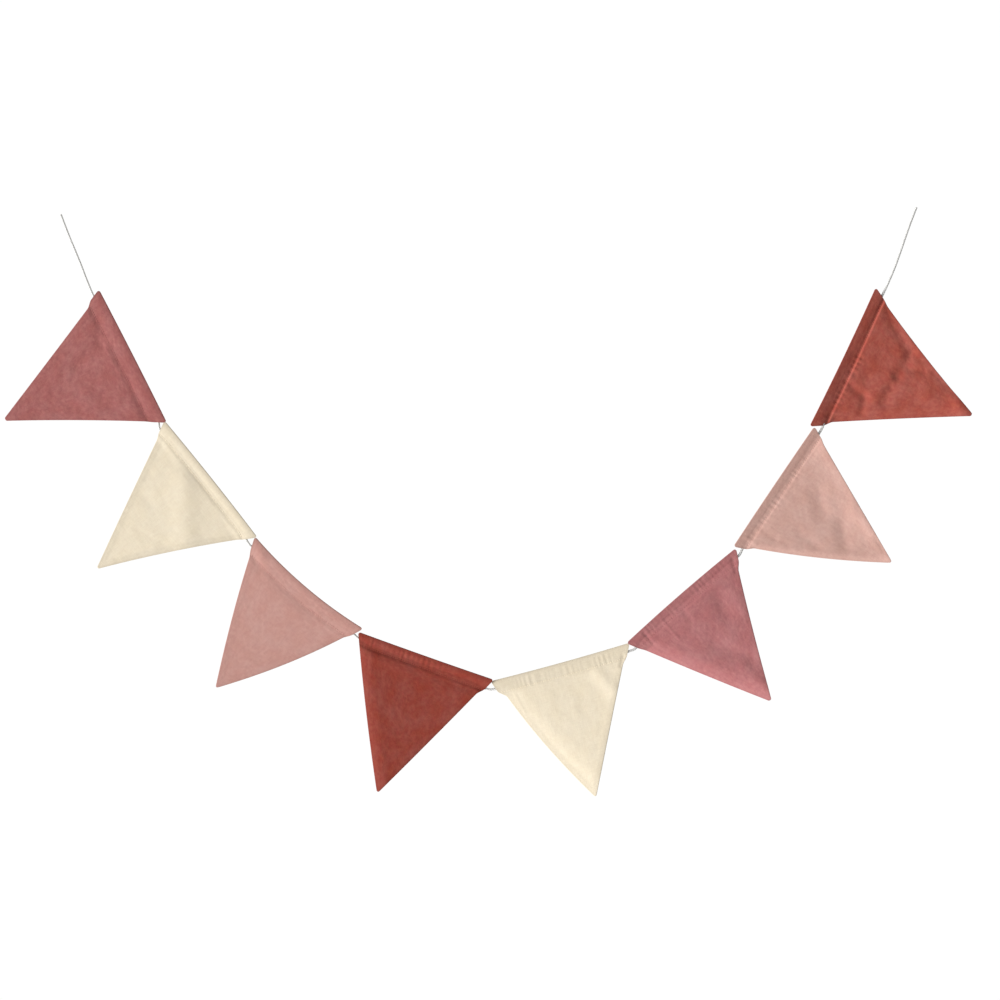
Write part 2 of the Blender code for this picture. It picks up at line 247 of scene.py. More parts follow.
# A row for each flag's finer shape. start, end: the depth of the stitches at the left and
# the right, where the string leaves them room. lift: the top edge, forward of the string.
# crown: the casing's fullness above the string. forward: the panel, in front of the
# string's plane. valley, climb: how far the stitches lie behind the panel, and how soon it
# comes forward again. shoulder, settle: the panel's fullness below that, and how soon it
# fades. curls and reaches: each side's bend toward the back, or toward the front if it is
# negative. rumple, crinkle: washed unevenness, broad and fine.
LookRow = namedtuple(
    "LookRow",
    "start end lift crown forward valley climb shoulder settle"
    " left_curl left_reach right_curl right_reach rumple crinkle",
)
LOOKS = {
    "flag_1": LookRow(18.3, 18.0, 0.7, 0.0, 1.3, 0.40, 6.0, 0.0, 30.0,
                      0.6, 12.0, 0.5, 10.0, 0.07, 0.015),
    "flag_2": LookRow(13.2, 13.2, 1.6, 0.1, 1.6, 0.30, 4.4, 0.0, 30.0,
                      0.0, 10.0, 0.0, 10.0, 0.03, 0.005),
    "flag_3": LookRow(17.6, 17.6, 0.9, 0.0, 1.9, 0.4, 6.0, 0.0, 30.0,
                      0.0, 10.0, 0.0, 10.0, 0.03, 0.010),
    "flag_4": LookRow(12.4, 14.9, 2.8, 0.4, 1.8, 0.4, 4.0, 0.2, 25.0,
                      2.8, 14.0, 0.0, 10.0, 0.05, 0.020),
    "flag_5": LookRow(15.0, 15.0, 0.6, 0.1, 1.5, 0.2, 4.0, 0.0, 30.0,
                      3.8, 44.0, 0.0, 10.0, 0.03, 0.005),
    "flag_6": LookRow(13.6, 13.9, 1.9, 0.0, 2.2, 0.1, 4.2, 0.4, 30.0,
                      4.9, 17.0, 0.0, 10.0, 0.05, 0.015),
    "flag_7": LookRow(13.5, 12.9, 2.9, 0.0, 1.3, 0.2, 3.0, 0.2, 30.0,
                      2.4, 9.0, -1.9, 26.0, 0.04, 0.015),
    "flag_8": LookRow(15.7, 13.7, 4.0, 0.0, 0.6, 0.7, 2.6, 1.0, 30.0,
                      3.2, 12.0, 0.0, 10.0, 0.06, 0.020),
}

# A row for each cloth: its colour, how much painted shade darkens it where it lies doubled,
# in the casing and the seams, how uneven its dye is, and how crumpled it is
ClothRow = namedtuple("ClothRow", "red green blue layered mottle crumple")
CLOTHS = {
    "dusty_rose": ClothRow(0.424, 0.144, 0.133, 0.03, 0.06, 0.25),
    "cream": ClothRow(0.871, 0.761, 0.581, 0.065, 0.012, 0.08),
    "blush": ClothRow(0.600, 0.320, 0.275, 0.025, 0.03, 0.12),
    "pale_blush": ClothRow(0.640, 0.385, 0.325, 0.025, 0.03, 0.16),
    "rust": ClothRow(0.284, 0.050, 0.032, 0.03, 0.05, 0.25),
    "mauve": ClothRow(0.456, 0.171, 0.171, 0.025, 0.05, 0.25),
    "rust_red": ClothRow(0.392, 0.087, 0.061, 0.03, 0.06, 0.25),
}

# A row for each main fold: a soft line from one point to another, how far it spreads to
# each side, and its rise. These are the solid's own folds.
FoldRow = namedtuple("FoldRow", "node from_along from_down to_along to_down spread rise")
FOLDS = [FoldRow(*row) for row in (
    ("flag_1", 26, 17, 51, 25, 8, -0.9),
    ("flag_1", 109, 17, 145, 17, 7, -0.8),
    ("flag_1", 54, 30, 62, 60, 10, -0.8),
    ("flag_1", 100, 72, 116, 66, 10, 0.5),
    ("flag_2", 66, 27, 121, 67, 14, 1.0),
    ("flag_3", 14, 15, 26, 19, 6, -0.8),
    ("flag_3", 50, 19, 104, 19, 7, -0.5),
    ("flag_4", 104, 17, 142, 17, 6, -0.8),
    ("flag_4", 24, 18, 62, 19, 8, 0.7),
    ("flag_5", 24, 30, 76, 128, 12, 0.5),
    ("flag_5", 114, 20, 126, 48, 8, 0.8),
    ("flag_6", 112, 30, 106, 50, 9, -1.0),
    ("flag_6", 74, 70, 93, 104, 10, -1.1),
    ("flag_6", 82, 106, 84, 138, 8, 0.9),
    ("flag_7", 100, 46, 84, 64, 9, -1.0),
    ("flag_7", 88, 86, 70, 104, 9, -1.1),
    ("flag_7", 110, 88, 99, 122, 9, 1.0),
    ("flag_8", 154, 20, 119, 66, 6, -1.2),
    ("flag_8", 57, 64, 74, 64, 6, -1.3),
    ("flag_8", 90, 65, 122, 69, 6, -1.6),
    ("flag_8", 103, 74, 108, 88, 5, -1.4),
    ("flag_8", 57, 22, 54, 38, 5, -1.2),
    ("flag_8", 52, 43, 36, 46, 5, -1.3),
    ("flag_8", 60, 50, 84, 57, 7, 1.0),
    ("flag_8", 85, 105, 84, 139, 10, 1.2),
)]

# A row for each smaller crease, in the same columns
CREASES = [FoldRow(*row) for row in (
    ("flag_1", 34, 14, 62, 16, 6.0, -0.2),
    ("flag_2", 76, 14, 146, 14, 7.0, -0.2),
    ("flag_2", 50, 72, 62, 70, 6.0, -0.3),
    ("flag_3", 12, 4, 20, 10, 6.0, 0.4),
    ("flag_4", 16, 2, 16, 22, 1.5, 0.25),
    ("flag_5", 17, 22, 23, 44, 2.0, 0.2),
    ("flag_5", 80, 45, 80, 65, 5.0, 0.15),
    ("flag_5", 146, 13, 141, 22, 2.5, -0.5),
    ("flag_6", 21.5, 5, 21.5, 21, 1.5, -0.5),
    ("flag_6", 46.5, 8, 47, 36, 1.6, 0.25),
    ("flag_6", 72, 17, 70, 30, 4.0, -0.4),
    ("flag_6", 128, 38, 122, 62, 5.0, 0.4),
    ("flag_6", 152, 7, 145, 20, 2.5, -0.5),
    ("flag_7", 14, 8, 14, 20, 2.5, 0.4),
    ("flag_7", 31, 20, 30, 34, 5.0, -0.3),
    ("flag_7", 52, 54, 50, 80, 6.0, -0.5),
    ("flag_7", 95, 128, 88, 143, 3.0, -0.4),
    ("flag_8", 95, 0, 166, 0, 7.0, -0.9),
    ("flag_8", 120, 76, 98.5, 132, 3.5, -0.55),
    ("flag_8", 68, 34, 74, 35, 5.0, -0.6),
    ("flag_8", 17, 14, 26, 27, 3.0, -0.4),
    ("flag_8", 86, 151, 96, 137, 9.0, 2.4),
)]

# A row for each run of puckers across the casing: how far along it starts and ends, the
# distance between puckers, their rise, and the depths between which they show
PuckerRow = namedtuple("PuckerRow", "node start end pitch rise top bottom")
PUCKERS = [PuckerRow(*row) for row in (
    ("flag_1", 10, 150, 6.5, 0.06, 2, 15),
    ("flag_2", 10, 150, 9.0, 0.05, 2, 12),
    ("flag_3", 20, 140, 6.5, 0.05, 6, 20),
    ("flag_4", 8, 110, 6.2, 0.30, 1, 11),
    ("flag_5", 5, 145, 6.5, 0.10, 2, 16),
    ("flag_6", 6, 150, 6.0, 0.10, -3, 12),
    ("flag_7", 8, 140, 7.0, 0.15, 6, 18),
    ("flag_8", 10, 100, 7.4, 0.28, 10, 21),
)]


def smoothstep(low, high, value):
    share = np.clip((value - low) / (high - low), 0.0, 1.0)
    return share * share * (3.0 - 2.0 * share)


def arch(share):
    """0 at both ends of the way and 1 in its middle."""
    return 4 * share * (1 - share)


# String line


def string_points():
    """The string's centreline (x, z): points on one smooth curve through the route."""
    knots = np.array(STRING_ROUTE)
    spans = np.linalg.norm(np.diff(knots, axis=0), axis=1)[:, None]
    headings = np.diff(knots, axis=0) / spans
    inner = (knots[2:] - knots[:-2]) / (spans[:-1] + spans[1:])
    tangents = np.vstack([headings[:1], inner, headings[-1:]])
    points = []
    for i, span in enumerate(spans[:, 0]):
        pieces = max(1, round(span / STRING_STEP))
        for step in range(pieces):
            t = step / pieces
            points.append(
                (2 * t**3 - 3 * t**2 + 1) * knots[i]
                + (t**3 - 2 * t**2 + t) * span * tangents[i]
                + (3 * t**2 - 2 * t**3) * knots[i + 1]
                + (t**3 - t**2) * span * tangents[i + 1]
            )
    points.append(knots[-1])
    return np.array(points)


def travelled(points):
    """The way along the line to each of its points."""
    lengths = np.linalg.norm(np.diff(points, axis=0), axis=1)
    return np.concatenate([[0.0], np.cumsum(lengths)])


def point_along(points, distance):
    lengths = travelled(points)
    return np.array([np.interp(distance, lengths, points[:, axis]) for axis in (0, 1)])


# Flag outline


def tip_along(flag):
    return flag.width / 2 + flag.lean


def side_slopes(flag):
    """The steepness of the left and the right side, as angles from the top edge."""
    left = math.atan2(flag.drop, tip_along(flag))
    right = math.atan2(flag.drop, flag.width - tip_along(flag))
    return left, right


def corner_inset(down, slope):
    """How far a rounded top corner stands in from the sharp one at this depth."""
    centre = CORNER_RADIUS / math.tan(slope / 2)
    round_part = np.sqrt(np.clip(CORNER_RADIUS**2 - (CORNER_RADIUS - down) ** 2, 0.0, None))
    inset = centre - round_part - down / math.tan(slope)
    return np.where(down < CORNER_RADIUS * (1 + math.cos(slope)), inset, 0.0)


def row_ends(flag, down):
    """Where the outline's left and right sides cross these depths."""
    share = down / flag.drop
    belly = arch(share)
    casing = 1.0 - smoothstep(*CASING_END_FADE, down)
    left_slope, right_slope = side_slopes(flag)
    left_out = (flag.left_bow * belly + flag.left_end * casing) / math.sin(left_slope)
    right_out = (flag.right_bow * belly + flag.right_end * casing) / math.sin(right_slope)
    left = share * tip_along(flag) - left_out + corner_inset(down, left_slope)
    right = flag.width - share * (flag.width - tip_along(flag)) + right_out
    return left, right - corner_inset(down, right_slope)


def outline_rows(flag):
    """The depth, left end and right end of each row, from the top edge to the tip."""
    half_angle = math.atan2(flag.width / 2, flag.drop)
    turns = np.linspace(half_angle, math.radians(TIP_LAST_TURN), TIP_TURNS)
    tip_centre = flag.drop - flag.tip_radius / math.sin(half_angle)
    tip_downs = tip_centre + flag.tip_radius * np.sin(turns)
    casing = np.arange(TOP_STEPS[-1] + CASING_STEP, CASING_GRID_END, CASING_STEP)
    panel_rows = round((tip_downs[0] - CASING_GRID_END) / PANEL_STEP)
    panel = np.linspace(casing[-1], tip_downs[0], panel_rows + 1)[1:-1]
    down = np.concatenate([TOP_STEPS, casing, panel, tip_downs])
    left, right = row_ends(flag, down)
    middle = (left[-TIP_TURNS:] + right[-TIP_TURNS:]) / 2
    half = np.minimum(flag.tip_radius * np.cos(turns), (right - left)[-TIP_TURNS:] / 2)
    left[-TIP_TURNS:] = middle - half
    right[-TIP_TURNS:] = middle + half
    return down, left, right


def grid_places(flag, left, right):
    """Places along every row: close together in the seams, then evenly spaced."""
    width = (right - left)[:, None]
    slopes = side_slopes(flag)
    steps = np.array(EDGE_STEPS)
    scale = np.minimum(1.0, EDGE_SHARE * width / steps[-1])
    near_left = steps / math.sin(slopes[0]) * scale
    near_right = steps / math.sin(slopes[1]) * scale
    share = np.linspace(0.0, 1.0, INNER_COLUMNS + 2)[1:-1]
    start = near_left[:, -1:]
    end = width - near_right[:, -1:]
    inner = start + (end - start) * share
    return left[:, None] + np.hstack([near_left, inner, width - near_right[:, ::-1]])


# Flag surface


def fold_rise(folds, flag, along, down):
    """The sum of a flag's folds: each is a soft ridge or trough along its line."""
    total = np.zeros_like(along)
    for fold in folds:
        if fold.node != flag.node:
            continue
        run_along = fold.to_along - fold.from_along
        run_down = fold.to_down - fold.from_down
        off_along = along - fold.from_along
        off_down = down - fold.from_down
        share = (off_along * run_along + off_down * run_down) / (run_along**2 + run_down**2)
        share = np.clip(share, 0.0, 1.0)
        off_along -= share * run_along
        off_down -= share * run_down
        total += fold.rise * np.exp(-(off_along**2 + off_down**2) / fold.spread**2)
    return total


def random_waves(seed, along, down, wavelengths, count=WAVE_COUNT):
    """A soft random relief of about unit height: the sum of waves in all directions."""
    dice = np.random.default_rng(seed)
    total = np.zeros_like(along)
    for _ in range(count):
        heading = dice.uniform(0.0, 2 * math.pi)
        number = 2 * math.pi / dice.uniform(*wavelengths)
        phase = dice.uniform(0.0, 2 * math.pi)
        across = along * math.cos(heading) + down * math.sin(heading)
        total += np.cos(number * across + phase)
    return total / math.sqrt(count / 2)


def waves_along(seed, along, wavelengths):
    """A random line of about unit height that changes only along the casing."""
    return random_waves(seed, along, np.zeros_like(along), wavelengths, PUCKER_WAVE_COUNT)


def pucker_rise(flag, seed, along, down):
    total = np.zeros_like(along)
    for row in PUCKERS:
        if row.node != flag.node:
            continue
        stray = STRAY * waves_along(seed + STRAY_SEED, along, STRAY_WAVES)
        change = waves_along(seed + STRENGTH_SEED, along, STRENGTH_WAVES)
        strength = np.clip(STRENGTH_MEAN + STRENGTH_CHANGE * change, *STRENGTH_LIMITS)
        started = smoothstep(row.start, row.start + END_FADE, along)
        ended = smoothstep(row.end - END_FADE, row.end, along)
        past_top = smoothstep(row.top, row.top + TOP_FADE, down)
        past_bottom = smoothstep(row.bottom - BOTTOM_FADE, row.bottom + BOTTOM_FADE, down)
        shown = started * (1 - ended) * (past_top * (1 - past_bottom))
        total += row.rise * np.cos(2 * math.pi * along / row.pitch + stray) * strength * shown
    return total


def stitch_depth(flag, along):
    """The depth that the table gives the stitches at these places."""
    look = LOOKS[flag.node]
    return look.start + (look.end - look.start) * along / flag.width


def reach_stitches(down, string_down, stitch):
    """0 from the top edge to the string, then up to 1 at the stitches."""
    share = np.clip((down - string_down) / (stitch - string_down), 0.0, 1.0)
    return (share + smoothstep(0.0, 1.0, share)) / 2


def casing_rise(shape):
    """The middle of the cloth from the top edge over the string to the stitches and beyond."""
    look = LOOKS[shape.flag.node]
    top = look.lift * np.clip(1 - shape.down / shape.string_down, 0.0, None)
    crown = look.crown * np.exp(-(((shape.down - CROWN_DOWN) / CROWN_SPREAD) ** 2))
    to_stitches = (look.forward - look.valley) * shape.reached
    climbed = shape.stitch + look.climb
    out_again = (look.valley + look.shoulder) * smoothstep(shape.stitch, climbed, shape.down)
    settled = look.shoulder * smoothstep(climbed, climbed + look.settle, shape.down)
    return top + crown + to_stitches + out_again - settled


def side_curl(inward, amount, reach):
    return -amount * np.clip(1 - inward / reach, 0.0, None) ** 2


def middle_rise(shape, seed):
    """How far the middle of the cloth stands in front of the string's plane."""
    flag, along, down = shape.flag, shape.along, shape.down
    look = LOOKS[flag.node]
    free = smoothstep(STRING_DEPTH, flag.stitch + STRING_DEPTH, down)
    fallen = np.clip(down - flag.stitch, 0.0, None) / flag.drop
    off_middle = 2 * (along - tip_along(flag)) / flag.width
    rise = flag.swing * fallen**2 + flag.curl * off_middle**2 * free
    rise += free * fold_rise(FOLDS, flag, along, down)
    rise += fold_rise(CREASES, flag, along, down)
    rise += casing_rise(shape)
    rise += free * side_curl(shape.from_left, look.left_curl, look.left_reach)
    rise += free * side_curl(shape.from_right, look.right_curl, look.right_reach)
    rise += look.rumple * free * random_waves(seed, along, down, RUMPLE_WAVES)
    rise += look.crinkle * random_waves(seed + CRINKLE_SEED, along, down, CRINKLE_WAVES)
    return rise + pucker_rise(flag, seed, along, down)


def rounded(distance, reach, full):
    """Half of the thickness at this distance in from a rim."""
    share = np.clip(distance / reach, 0.0, 1.0)
    return RIM_HALF + (full - RIM_HALF) * np.sqrt(1 - (1 - share) ** 2)


def half_thickness(shape):
    """Half of the cloth's thickness: seams, casing, string and the pinch of the stitches."""
    body = PANEL_HALF + SEAM_EXTRA * (1 - smoothstep(*SEAM_FALL, shape.edge))
    body = np.minimum(body, rounded(shape.edge, RIM_ROUND, PANEL_HALF + SEAM_EXTRA))
    past_stitches = smoothstep(0.0, PINCH_REACH, shape.down - shape.stitch)
    panel = STITCH_HALF + (body - STITCH_HALF) * past_stitches
    to_string = np.sin(math.pi / 2 * np.clip(shape.down / shape.string_down, 0.0, 1.0))
    casing = rounded(shape.down, TOP_ROUND, TOP_HALF) + (STRING_HALF - TOP_HALF) * to_string
    casing = STITCH_HALF + (casing - STITCH_HALF) * (1 - shape.reached)
    return np.where(shape.down < shape.stitch, casing, panel)


class FlagShape:
    """The grid of one flag: its places, and the rise of its front and its back."""

    def __init__(self, flag, seed, string_line):
        self.flag = flag
        self.set_plane(string_line)
        self.lay_grid()
        self.follow_string(string_line)
        self.rise = middle_rise(self, seed)
        half = half_thickness(self)
        self.front = self.rise + half
        self.back = self.rise - half
        # Where the cloth lies doubled, in the casing and the seams: the mask of its painted shade
        in_casing = 1 - smoothstep(*DOUBLED_END, self.down - self.stitch)
        in_seam = 1 - smoothstep(*SEAM_FALL, self.edge)
        self.layers = np.maximum(in_casing, in_seam)

    def set_plane(self, string_line):
        """The flag's own plane: the ways along and down, and the top left corner."""
        heading = math.radians(self.flag.heading)
        self.along_axis = np.array([math.cos(heading), math.sin(heading)])
        self.down_axis = np.array([math.sin(heading), -math.cos(heading)])
        middle = point_along(string_line, self.flag.middle)
        edge_middle = middle - self.down_axis * (STRING_DEPTH - self.flag.top_bow)
        self.corner = edge_middle - self.along_axis * self.flag.width / 2

    def lay_grid(self):
        """Each place along and down, and how far it lies in from the edges."""
        down, left, right = outline_rows(self.flag)
        self.along = grid_places(self.flag, left, right)
        self.down = np.repeat(down[:, None], self.along.shape[1], axis=1)
        left_slope, right_slope = side_slopes(self.flag)
        self.from_left = (self.along - left[:, None]) * math.sin(left_slope)
        self.from_right = (right[:, None] - self.along) * math.sin(right_slope)
        from_tip = down[-1] - self.down
        self.edge = np.minimum(np.minimum(self.from_left, self.from_right), from_tip)

    def follow_string(self, string_line):
        """The top edge's bow, the string's depth in the casing and the stitches below it."""
        flag = self.flag
        bow = flag.top_bow * arch(self.along / flag.width) * (1 - self.down / flag.drop)
        self.sunk = self.down - bow
        along = (string_line - self.corner) @ self.along_axis
        down = (string_line - self.corner) @ self.down_axis
        within = (along > -STRING_PAST_ENDS) & (along < flag.width + STRING_PAST_ENDS)
        near = within & (np.abs(down) < STRING_OFF_EDGE)
        self.string_down = np.interp(self.along, along[near], down[near]) + bow
        lowest = self.string_down + STRING_ROOM
        self.stitch = np.maximum(stitch_depth(flag, self.along), lowest)
        self.reached = reach_stitches(self.down, self.string_down, self.stitch)

    def read(self, values, along, down):
        """The grid's values at these places."""
        depths = self.down[:, 0]
        found = []
        for place, depth in zip(along, down):
            row = int(np.searchsorted(depths, depth))
            share = (depth - depths[row - 1]) / (depths[row] - depths[row - 1])
            upper = np.interp(place, self.along[row - 1], values[row - 1])
            lower = np.interp(place, self.along[row], values[row])
            found.append(upper + (lower - upper) * share)
        return np.array(found)

    def world(self, along, sunk, rise):
        """Places in the row frame, in metres."""
        plane = self.corner + along[..., None] * self.along_axis + sunk[..., None] * self.down_axis
        return np.stack([plane[..., 0], -rise, plane[..., 1]], axis=-1) * MM


# Meshes


def grid_faces(numbers):
    """Quads between neighbours of a grid of vertex numbers."""
    return np.stack(
        [numbers[:-1, :-1], numbers[:-1, 1:], numbers[1:, 1:], numbers[1:, :-1]], axis=-1
    ).reshape(-1, 4)


def strip_faces(first, second):
    """Quads between two lines of vertex numbers of the same length."""
    return grid_faces(np.stack([first, second]))


class MeshParts:
    """Vertices and faces gathered before one mesh is made of them."""

    def __init__(self, *names):
        self.names = names
        self.places = []
        self.values = []
        self.faces = []
        self.count = 0

    def add(self, places, *values):
        """Adds vertices with their values, and returns their numbers in the same layout."""
        shape = places.shape[:-1]
        number = math.prod(shape)
        self.places.append(places.reshape(-1, 3))
        self.values.append([np.reshape(value, (number, -1)) for value in values])
        numbers = self.count + np.arange(number).reshape(shape)
        self.count += number
        return numbers

    def build(self, name, material):
        mesh = bpy.data.meshes.new(name)
        faces = np.concatenate(self.faces)
        mesh.from_pydata(np.concatenate(self.places).tolist(), [], faces.tolist())
        for attribute, lists in zip(self.names, zip(*self.values)):
            values = np.concatenate(lists).astype(np.float32)
            kind, field = ("FLOAT", "value") if values.shape[1] == 1 else ("FLOAT_VECTOR", "vector")
            layer = mesh.attributes.new(attribute, kind, "POINT")
            layer.data.foreach_set(field, values.ravel())
        mesh.validate()
        mesh.shade_smooth()
        mesh.materials.append(material)
        piece = bpy.data.objects.new(name, mesh)
        bpy.context.collection.objects.link(piece)
        return piece


def mouth_rows(shape):
    """The first and the last row of the casing's open ends."""
    look = LOOKS[shape.flag.node]
    depths = shape.down[:, 0]
    first = int(np.searchsorted(depths, MOUTH_TOP))
    last = int(np.searchsorted(depths, min(look.start, look.end))) - 1
    return first, last


def make_cloth(shape, material):
    """One flag: a front and a back, a grooved rim, and a casing that is open at both ends."""
    parts = MeshParts("cloth", "layers")
    # The third value, the distance from the nearest rim or the top edge, places the painted rim
    # shade
    cloth = np.stack([shape.along, shape.down, np.minimum(shape.edge, shape.down)], axis=-1)

    def add(pick, rise, shift=(0.0, 0.0)):
        places = shape.world(shape.along[pick] + shift[0], shape.sunk[pick] + shift[1], rise)
        return parts.add(places, cloth[pick], shape.layers[pick])

    front = add(slice(None), shape.front)
    back = add(slice(None), shape.back)
    parts.faces += [grid_faces(front), grid_faces(back)[:, ::-1]]

    first, last = mouth_rows(shape)
    ridge_top = add(first, shape.rise[first])
    ridge_low = add(last, shape.rise[last])
    inside = slice(first + 1, last)
    hollow = (shape.front - shape.back)[inside] / 2 - CASING_WALL
    hollow = np.clip(hollow, LEAST_HOLLOW, None)
    front_wall = np.vstack([ridge_top, add(inside, shape.rise[inside] + hollow), ridge_low])
    back_wall = np.vstack([ridge_top, add(inside, shape.rise[inside] - hollow), ridge_low])
    parts.faces += [grid_faces(front_wall)[:, ::-1], grid_faces(back_wall)]

    mouth = slice(first, last + 1)
    for column, turned in ((0, 1), (-1, -1)):
        parts.faces += [
            strip_faces(front[mouth, column], front_wall[:, column])[:, ::turned],
            strip_faces(back_wall[:, column], back[mouth, column])[:, ::turned],
        ]

    rim = outline_loop(front.shape, last)
    groove = add(rim, shape.rise[rim], groove_inset(front.shape, *rim))
    groove[0], groove[-1] = ridge_low[0], ridge_low[-1]
    top_rim = top_loop(front.shape, first)
    top_groove = add(top_rim, shape.rise[top_rim])
    top_groove[0], top_groove[-1] = ridge_top[0], ridge_top[-1]
    parts.faces += [
        strip_faces(front[rim], groove), strip_faces(groove, back[rim]),
        strip_faces(top_groove, front[top_rim]), strip_faces(back[top_rim], top_groove),
    ]
    return parts.build("cloth_" + shape.flag.node, material)


def outline_loop(shape, last):
    """Rows and columns of the rim from the left mouth's foot, round the tip, to the right's."""
    rows, columns = shape
    down_left = [(row, 0) for row in range(last, rows)]
    across = [(rows - 1, column) for column in range(1, columns - 1)]
    up_right = [(row, columns - 1) for row in range(rows - 1, last - 1, -1)]
    loop = np.array([*down_left, *across, *up_right])
    return loop[:, 0], loop[:, 1]


def top_loop(shape, first):
    """Rows and columns of the rim over the top edge, between the tops of the mouths."""
    columns = shape[1]
    up_left = [(row, 0) for row in range(first, -1, -1)]
    across = [(0, column) for column in range(1, columns - 1)]
    down_right = [(row, columns - 1) for row in range(0, first + 1)]
    loop = np.array([*up_left, *across, *down_right])
    return loop[:, 0], loop[:, 1]


def groove_inset(shape, rows, columns):
    """Where the seam between the two layers lies: a little in from the rim."""
    at_left, at_right = columns == 0, columns == shape[1] - 1
    at_tip = (rows == shape[0] - 1) & ~at_left & ~at_right
    return RIM_GROOVE * (at_left * 1.0 - at_right), -RIM_GROOVE * at_tip


def make_stitches(shape, material):
    """One line of straight stitches below the casing, on the front and on the back."""
    flag = shape.flag
    row = int(np.argmin(np.abs(shape.down[:, 0] - stitch_depth(flag, flag.width / 2))))
    first = shape.along[row, 0] + STITCH_MARGIN
    last = shape.along[row, -1] - STITCH_MARGIN
    spread = np.linspace(-0.5, 0.5, THREAD_STATIONS)
    full = arch(spread + 0.5)
    angles = np.arange(THREAD_SIDES) * 2 * math.pi / THREAD_SIDES
    thick = THREAD_RADIUS * (STITCH_END + (1 - STITCH_END) * full)[:, None]
    above = THREAD_RADIUS * (STITCH_RISE * full - STITCH_SINK)
    parts = MeshParts("cloth")
    for number in range(int((last - first) // STITCH_PITCH)):
        along = first + (number + 0.5) * STITCH_PITCH + spread * STITCH_LENGTH
        down = np.interp(along, shape.along[row], shape.stitch[row])
        sunk = shape.read(shape.sunk, along, down)[:, None] + thick * np.cos(angles)
        run = np.repeat(along[:, None], THREAD_SIDES, axis=1)
        for side, surface in ((1, shape.front), (-1, shape.back)):
            base = shape.read(surface, along, down) + side * above
            rise = base[:, None] + side * thick * np.sin(angles)
            rings = parts.add(shape.world(run, sunk, rise), np.stack([run, sunk, rise], axis=-1))
            parts.faces.append(grid_faces(np.hstack([rings, rings[:, :1]])))
    return parts.build("stitches_" + flag.node, material)


def strand_section(distance, angles):
    """The lobed section at each distance: every angle's turn past one strand, and its radius."""
    turn = 2 * math.pi * distance / TWIST_PITCH
    strands = 2 * math.pi * np.arange(STRING_STRANDS) / STRING_STRANDS
    off = angles[None, :, None] - turn[:, None, None] - strands
    reach = STRAND_RADIUS**2 - (STRAND_OFFSET * np.sin(off)) ** 2
    radius = np.max(STRAND_OFFSET * np.cos(off) + np.sqrt(reach), axis=2)
    return off[..., 0] % (2 * math.pi), radius


def close_end(parts, ring, places, centre, twist, turned):
    """The string's plain cut end: a smaller ring and a middle point inside its last ring."""
    inner = parts.add(centre + END_RING * (places - centre), twist)
    closed = np.append(inner, inner[0])
    outer = np.append(ring, ring[0])
    parts.faces.append(strip_faces(outer, closed)[:, ::turned])
    middle = parts.add(centre[None, :], twist[:1])
    hub = np.full(STRING_SIDES + 1, middle[0])
    parts.faces.append(strip_faces(closed, hub)[:, ::turned])


def make_string(line, material):
    """The string: strands twisted round each other, shown as a lobed tube."""
    distance = travelled(line)
    angles = np.arange(STRING_SIDES) * 2 * math.pi / STRING_SIDES
    phase, radius = strand_section(distance, angles)
    runs = np.gradient(line, axis=0)
    runs /= np.linalg.norm(runs, axis=1)[:, None]
    side = np.stack([-runs[:, 1], 0 * runs[:, 0], runs[:, 0]], axis=1)
    depth = np.array([0.0, -1.0, 0.0])
    around = np.cos(angles)[:, None] * side[:, None, :] + np.sin(angles)[:, None] * depth
    centre = np.stack([line[:, 0], 0 * line[:, 0], line[:, 1]], axis=1)
    places = (centre[:, None, :] + radius[..., None] * around) * MM
    centre *= MM
    along = np.repeat(distance[:, None], STRING_SIDES, axis=1)
    twist = np.stack([along, phase, radius], axis=-1)
    parts = MeshParts("twist")
    rings = parts.add(places, twist)
    parts.faces.append(grid_faces(np.hstack([rings, rings[:, :1]]))[:, ::-1])
    for end, turned in ((0, 1), (-1, -1)):
        close_end(parts, rings[end], places[end], centre[end], twist[end], turned)
    return parts.build("cotton_string", material), centre


# Materials


